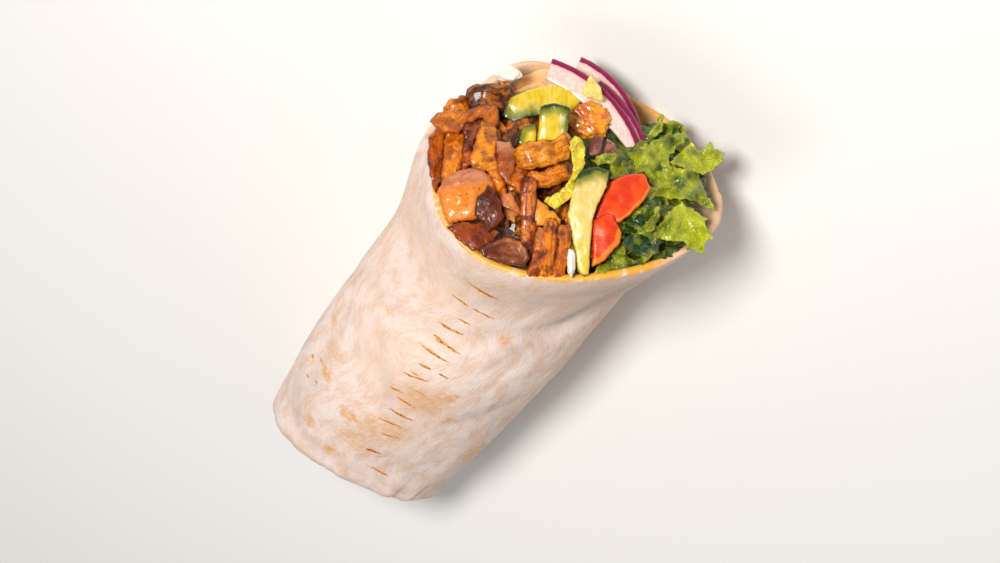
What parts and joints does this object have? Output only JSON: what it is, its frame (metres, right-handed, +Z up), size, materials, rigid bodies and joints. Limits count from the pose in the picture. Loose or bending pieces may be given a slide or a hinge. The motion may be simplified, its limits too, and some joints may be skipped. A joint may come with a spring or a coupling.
{
  "type": "gyro wrap",
  "caption": "Rolled tortilla wrap with a folded end, open at the other end and filled with strips of meat, lettuce, cucumber, tomato, red onion and sauce.",
  "frame": {"origin": "on the flat strip of the underside, below the middle of the tube's length", "axes": "+X along the roll towards the open end, +Y to the side that holds the meat, +Z up through the side that shows the toasted slits"},
  "size_m": [0.1709, 0.076, 0.073],
  "materials": {
    "tortilla": "dry, floury flatbread with toasted marks",
    "meat": "seared, oily meat",
    "lettuce": "wet green leaf",
    "cucumber": "wet pale flesh with dark green skin",
    "tomato": "wet red flesh",
    "red_onion": "pale layer with a magenta edge",
    "cooked_onion": "soft, browned and oily",
    "yellow_lettuce": "wet yellow leaf edge",
    "crisp_flake": "dry, speckled flake",
    "chilli_sauce": "wet orange sauce",
    "garlic_sauce": "smooth white sauce"
  },
  "bodies": {
    "root": {"tortilla": "tortilla", "gyro_meat": "meat", "lettuce": "lettuce", "cucumber_spear": "cucumber", "cucumber_block": "cucumber", "cucumber_strip": "cucumber", "cucumber_end": "cucumber", "tomato_upper": "tomato", "tomato_lower": "tomato", "red_onion_front": "red_onion", "red_onion_middle": "red_onion", "red_onion_back": "red_onion", "cooked_onion_left": "cooked_onion", "cooked_onion_right": "cooked_onion", "yellow_lettuce": "yellow_lettuce", "crisp_flake": "crisp_flake", "chilli_sauce": "chilli_sauce", "garlic_sauce_front": "garlic_sauce", "garlic_sauce_back": "garlic_sauce"}
  },
  "joints": []
}
